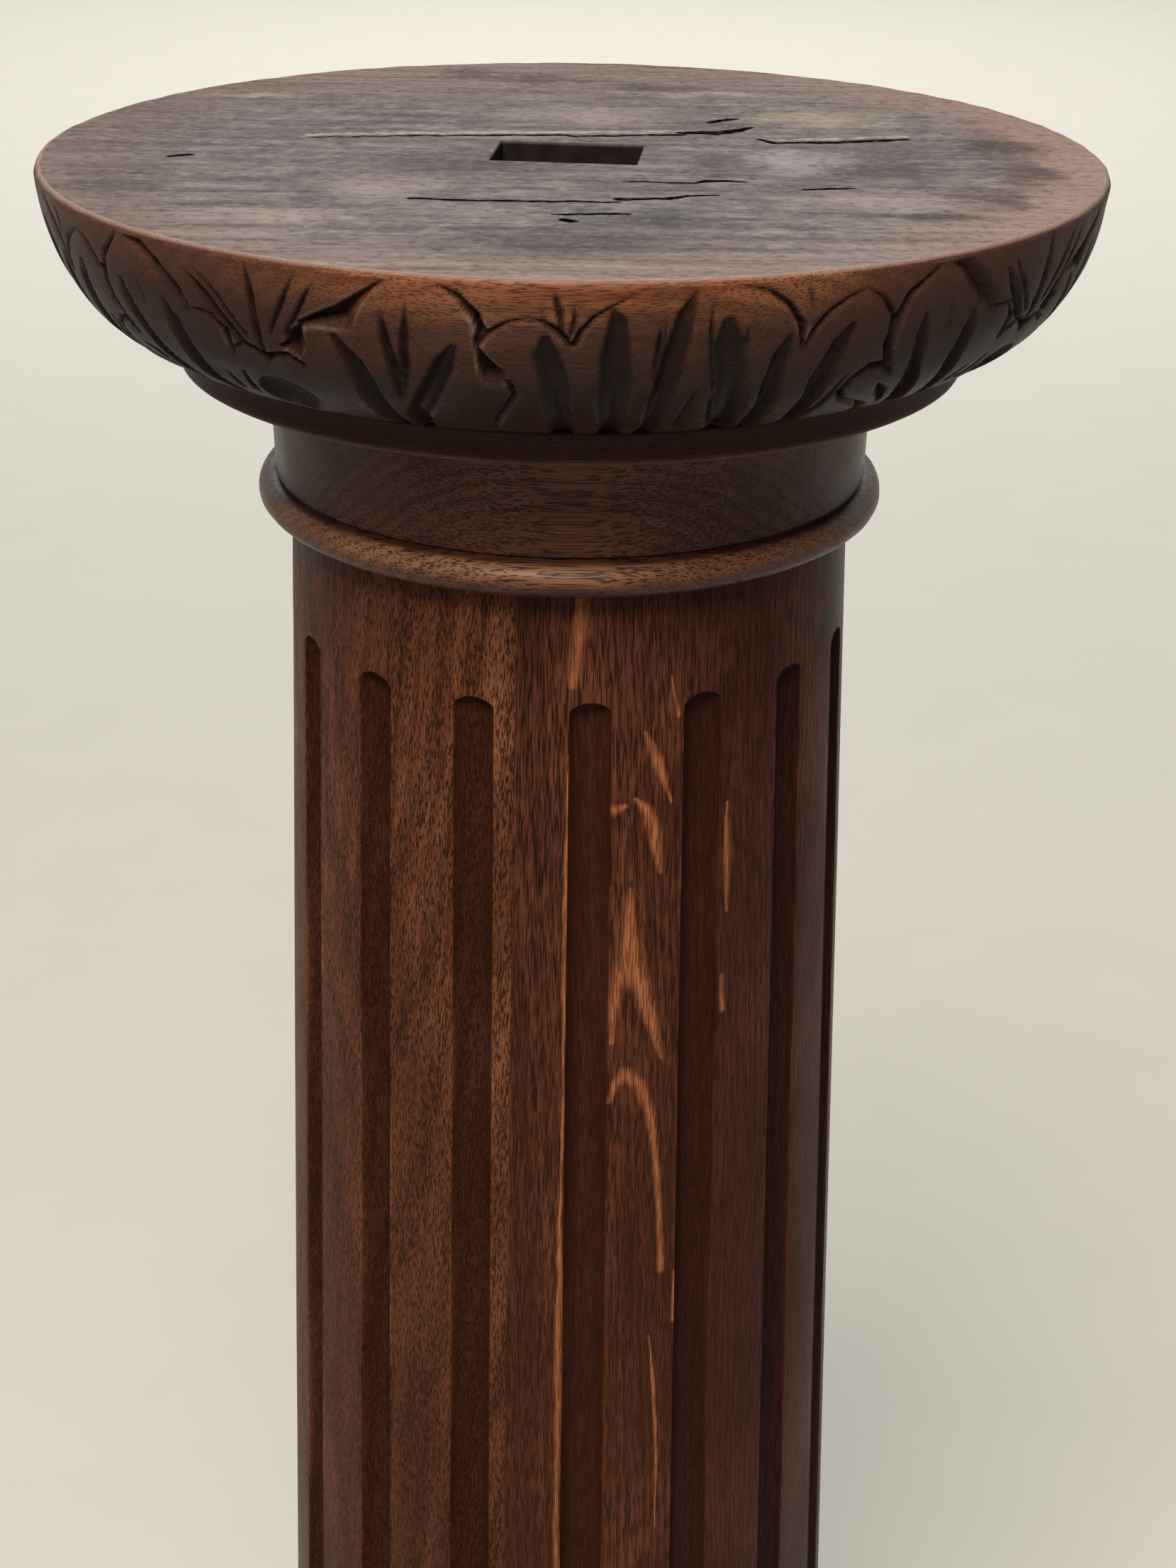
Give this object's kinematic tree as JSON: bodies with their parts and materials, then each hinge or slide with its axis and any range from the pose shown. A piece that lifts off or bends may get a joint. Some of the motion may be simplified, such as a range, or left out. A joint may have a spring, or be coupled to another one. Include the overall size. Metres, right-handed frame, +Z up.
{
  "type": "fluted column",
  "caption": "Tapering fluted oak column on a round turned base, with a leaf-carved round capital, a beaded neck and a mortise in its flat top.",
  "frame": {"origin": "centre of the underside, on the floor", "axes": "+Z up along the column, -Y towards the front that the picture shows"},
  "size_m": [0.32, 0.32, 1],
  "materials": {
    "capital_oak": "stained and waxed oak, weathered on top",
    "necking_oak": "dark stained and waxed oak, grain lying flat",
    "shaft_oak": "dark stained and waxed oak, grain upright",
    "base_oak": "dark stained and waxed oak, grain lying flat"
  },
  "bodies": {
    "root": {"capital": "capital_oak", "necking": "necking_oak", "shaft": "shaft_oak", "base_ring": "base_oak", "base_disc": "base_oak"}
  },
  "joints": []
}
